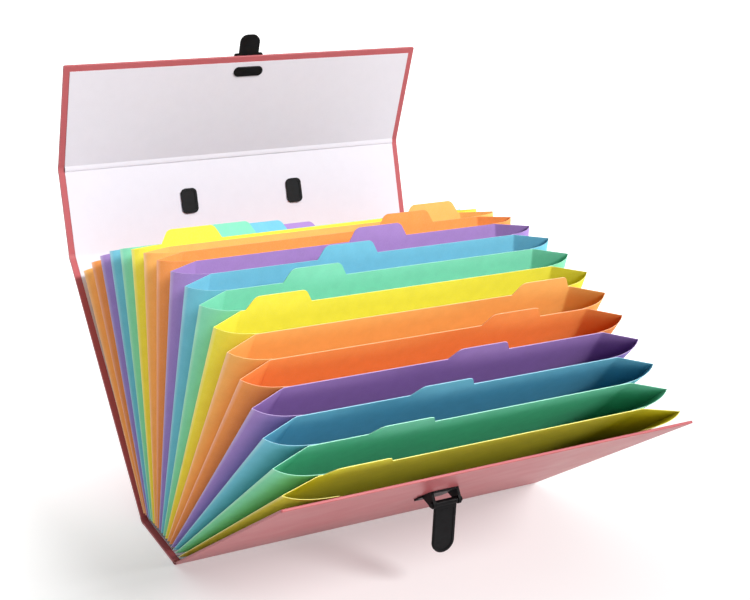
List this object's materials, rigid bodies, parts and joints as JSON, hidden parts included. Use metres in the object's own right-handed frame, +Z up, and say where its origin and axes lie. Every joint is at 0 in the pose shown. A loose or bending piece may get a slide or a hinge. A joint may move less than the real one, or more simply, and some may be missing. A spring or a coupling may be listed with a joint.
{
  "type": "accordion file folder",
  "caption": "Expanding file with fanned coloured index pockets in a wrapped-board case with lid strip, closing flap, clasp and carry handle.",
  "frame": {"origin": "middle of the spine's underside, on the surface that the case stands on", "axes": "+X along the case to the right seen from the front, +Y to the back, +Z up"},
  "size_m": [0.335, 0.4557, 0.3572],
  "materials": {
    "wrap_pink": "fine grained paper wrap, matt",
    "lining_white": "smooth coated paper",
    "paper_orange": "smooth coloured card",
    "paper_red_orange": "smooth coloured card",
    "paper_purple": "smooth coloured card",
    "paper_blue": "smooth coloured card",
    "paper_green": "smooth coloured card",
    "paper_yellow": "smooth coloured card",
    "plastic_black": "moulded, satin"
  },
  "bodies": {
    "spine": {"spine_board": "wrap_pink", "spine_lining": "lining_white", "pleated_base": "lining_white", "back_fold": "wrap_pink", "front_fold": "wrap_pink"},
    "back": {"back_board": "wrap_pink", "back_lining": "lining_white", "lid_fold": "wrap_pink"},
    "lid": {"lid_board": "wrap_pink", "lid_lining": "lining_white", "flap_fold": "wrap_pink", "handle_brackets": "plastic_black", "handle_plates": "plastic_black"},
    "flap": {"flap_board": "wrap_pink", "flap_lining": "lining_white", "flap_tongue": "plastic_black", "tongue_plate": "plastic_black"},
    "front": {"front_board": "wrap_pink", "front_lining": "lining_white", "clasp_base": "plastic_black", "clasp_plate": "plastic_black", "clasp_pin": "plastic_black"},
    "lever": {"clasp_lever": "plastic_black"},
    "bail": {"handle": "plastic_black"},
    "pocket_01": {"divider_01": "paper_orange", "gusset_01": "paper_orange"},
    "pocket_02": {"divider_02": "paper_red_orange", "gusset_02": "paper_red_orange"},
    "pocket_03": {"divider_03": "paper_purple", "gusset_03": "paper_purple"},
    "pocket_04": {"divider_04": "paper_blue", "gusset_04": "paper_blue"},
    "pocket_05": {"divider_05": "paper_green", "gusset_05": "paper_green"},
    "pocket_06": {"divider_06": "paper_yellow", "gusset_06": "paper_yellow"},
    "pocket_07": {"divider_07": "paper_orange", "gusset_07": "paper_orange"},
    "pocket_08": {"divider_08": "paper_red_orange", "gusset_08": "paper_red_orange"},
    "pocket_09": {"divider_09": "paper_purple", "gusset_09": "paper_purple"},
    "pocket_10": {"divider_10": "paper_blue", "gusset_10": "paper_blue"},
    "pocket_11": {"divider_11": "paper_green", "gusset_11": "paper_green"},
    "pocket_12": {"divider_12": "paper_yellow", "gusset_12": "paper_yellow"},
    "pocket_13": {"divider_13": "paper_orange", "gusset_13": "paper_orange"},
    "pocket_14": {"divider_14": "paper_red_orange", "gusset_14": "paper_red_orange"},
    "pocket_15": {"divider_15": "paper_purple", "gusset_15": "paper_purple"},
    "pocket_16": {"divider_16": "paper_blue", "gusset_16": "paper_blue"},
    "pocket_17": {"divider_17": "paper_green", "gusset_17": "paper_green"},
    "pocket_18": {"divider_18": "paper_yellow", "gusset_18": "paper_yellow"}
  },
  "joints": [
    {"name": "back_hinge", "type": "hinge", "parent": "spine", "child": "back", "pos_m": [0, 0.0365, 0], "axis": [1, 0, 0], "range_deg": [0, 45.7], "deforming": ["back_fold"]},
    {"name": "front_hinge", "type": "hinge", "parent": "spine", "child": "front", "pos_m": [0, -0.0365, 0], "axis": [1, 0, 0], "range_deg": [-53.4, 0], "deforming": ["front_fold"]},
    {"name": "lid_hinge", "type": "hinge", "parent": "back", "child": "lid", "pos_m": [0, 0.21113, 0.17041], "axis": [1, 0, 0], "range_deg": [-26.9, 63.1], "deforming": ["lid_fold"]},
    {"name": "flap_hinge", "type": "hinge", "parent": "lid", "child": "flap", "pos_m": [0, 0.23601, 0.24349], "axis": [1, 0, 0], "range_deg": [0, 56.6], "deforming": ["flap_fold"]},
    {"name": "lever_hinge", "type": "hinge", "parent": "front", "child": "lever", "pos_m": [0, -0.15145, 0.07416], "axis": [1, 0, 0], "range_deg": [-100, 53.4]},
    {"name": "bail_hinge", "type": "hinge", "parent": "lid", "child": "bail", "pos_m": [0, 0.22887, 0.20515], "axis": [1, 0, 0], "range_deg": [-18.8, 161.2]},
    {"name": "pocket_01_hinge", "type": "hinge", "parent": "spine", "child": "pocket_01", "pos_m": [0, 0.0335, 0.0036], "axis": [1, 0, 0], "range_deg": [0, 46.1], "deforming": ["gusset_01"]},
    {"name": "pocket_02_hinge", "type": "hinge", "parent": "spine", "child": "pocket_02", "pos_m": [0, 0.02979, 0.0036], "axis": [1, 0, 0], "range_deg": [0, 40.86], "deforming": ["gusset_02"]},
    {"name": "pocket_03_hinge", "type": "hinge", "parent": "spine", "child": "pocket_03", "pos_m": [0, 0.02608, 0.0036], "axis": [1, 0, 0], "range_deg": [0, 35.55], "deforming": ["gusset_03"]},
    {"name": "pocket_04_hinge", "type": "hinge", "parent": "spine", "child": "pocket_04", "pos_m": [0, 0.02236, 0.0036], "axis": [1, 0, 0], "range_deg": [0, 30.12], "deforming": ["gusset_04"]},
    {"name": "pocket_05_hinge", "type": "hinge", "parent": "spine", "child": "pocket_05", "pos_m": [0, 0.01865, 0.0036], "axis": [1, 0, 0], "range_deg": [0, 24.52], "deforming": ["gusset_05"]},
    {"name": "pocket_06_hinge", "type": "hinge", "parent": "spine", "child": "pocket_06", "pos_m": [0, 0.01494, 0.0036], "axis": [1, 0, 0], "range_deg": [0, 18.74], "deforming": ["gusset_06"]},
    {"name": "pocket_07_hinge", "type": "hinge", "parent": "spine", "child": "pocket_07", "pos_m": [0, 0.01123, 0.0036], "axis": [1, 0, 0], "range_deg": [0, 12.78], "deforming": ["gusset_07"]},
    {"name": "pocket_08_hinge", "type": "hinge", "parent": "spine", "child": "pocket_08", "pos_m": [0, 0.00752, 0.0036], "axis": [1, 0, 0], "range_deg": [0, 6.67], "deforming": ["gusset_08"]},
    {"name": "pocket_09_hinge", "type": "hinge", "parent": "spine", "child": "pocket_09", "pos_m": [0, 0.00381, 0.0036], "axis": [1, 0, 0], "range_deg": [0, 0.4705], "deforming": ["gusset_09"]},
    {"name": "pocket_10_hinge", "type": "hinge", "parent": "spine", "child": "pocket_10", "pos_m": [0, 0.00009, 0.0036], "axis": [1, 0, 0], "range_deg": [-5.77, 0], "deforming": ["gusset_10"]},
    {"name": "pocket_11_hinge", "type": "hinge", "parent": "spine", "child": "pocket_11", "pos_m": [0, -0.00362, 0.0036], "axis": [1, 0, 0], "range_deg": [-11.97, 0], "deforming": ["gusset_11"]},
    {"name": "pocket_12_hinge", "type": "hinge", "parent": "spine", "child": "pocket_12", "pos_m": [0, -0.00733, 0.0036], "axis": [1, 0, 0], "range_deg": [-18.06, 0], "deforming": ["gusset_12"]},
    {"name": "pocket_13_hinge", "type": "hinge", "parent": "spine", "child": "pocket_13", "pos_m": [0, -0.01104, 0.0036], "axis": [1, 0, 0], "range_deg": [-24, 0], "deforming": ["gusset_13"]},
    {"name": "pocket_14_hinge", "type": "hinge", "parent": "spine", "child": "pocket_14", "pos_m": [0, -0.01475, 0.0036], "axis": [1, 0, 0], "range_deg": [-29.73, 0], "deforming": ["gusset_14"]},
    {"name": "pocket_15_hinge", "type": "hinge", "parent": "spine", "child": "pocket_15", "pos_m": [0, -0.01846, 0.0036], "axis": [1, 0, 0], "range_deg": [-35.25, 0], "deforming": ["gusset_15"]},
    {"name": "pocket_16_hinge", "type": "hinge", "parent": "spine", "child": "pocket_16", "pos_m": [0, -0.02218, 0.0036], "axis": [1, 0, 0], "range_deg": [-40.53, 0], "deforming": ["gusset_16"]},
    {"name": "pocket_17_hinge", "type": "hinge", "parent": "spine", "child": "pocket_17", "pos_m": [0, -0.02589, 0.0036], "axis": [1, 0, 0], "range_deg": [-45.58, 0], "deforming": ["gusset_17"]},
    {"name": "pocket_18_hinge", "type": "hinge", "parent": "spine", "child": "pocket_18", "pos_m": [0, -0.0296, 0.0036], "axis": [1, 0, 0], "range_deg": [-50.4, 0], "deforming": ["gusset_18"]}
  ],
  "couplings": [
    {"joint": "front_hinge", "follows": "back_hinge", "ratio": -1.1685},
    {"joint": "flap_hinge", "follows": "back_hinge", "ratio": 1.2385},
    {"joint": "pocket_01_hinge", "follows": "back_hinge", "ratio": 1.0088},
    {"joint": "pocket_02_hinge", "follows": "back_hinge", "ratio": 0.89408},
    {"joint": "pocket_03_hinge", "follows": "back_hinge", "ratio": 0.77795},
    {"joint": "pocket_04_hinge", "follows": "back_hinge", "ratio": 0.65909},
    {"joint": "pocket_05_hinge", "follows": "back_hinge", "ratio": 0.53661},
    {"joint": "pocket_06_hinge", "follows": "back_hinge", "ratio": 0.41009},
    {"joint": "pocket_07_hinge", "follows": "back_hinge", "ratio": 0.27968},
    {"joint": "pocket_08_hinge", "follows": "back_hinge", "ratio": 0.14605},
    {"joint": "pocket_09_hinge", "follows": "back_hinge", "ratio": 0.010295},
    {"joint": "pocket_10_hinge", "follows": "back_hinge", "ratio": -0.12617},
    {"joint": "pocket_11_hinge", "follows": "back_hinge", "ratio": -0.26183},
    {"joint": "pocket_12_hinge", "follows": "back_hinge", "ratio": -0.39522},
    {"joint": "pocket_13_hinge", "follows": "back_hinge", "ratio": -0.52511},
    {"joint": "pocket_14_hinge", "follows": "back_hinge", "ratio": -0.65063},
    {"joint": "pocket_15_hinge", "follows": "back_hinge", "ratio": -0.77125},
    {"joint": "pocket_16_hinge", "follows": "back_hinge", "ratio": -0.88683},
    {"joint": "pocket_17_hinge", "follows": "back_hinge", "ratio": -0.99738},
    {"joint": "pocket_18_hinge", "follows": "back_hinge", "ratio": -1.1028}
  ]
}
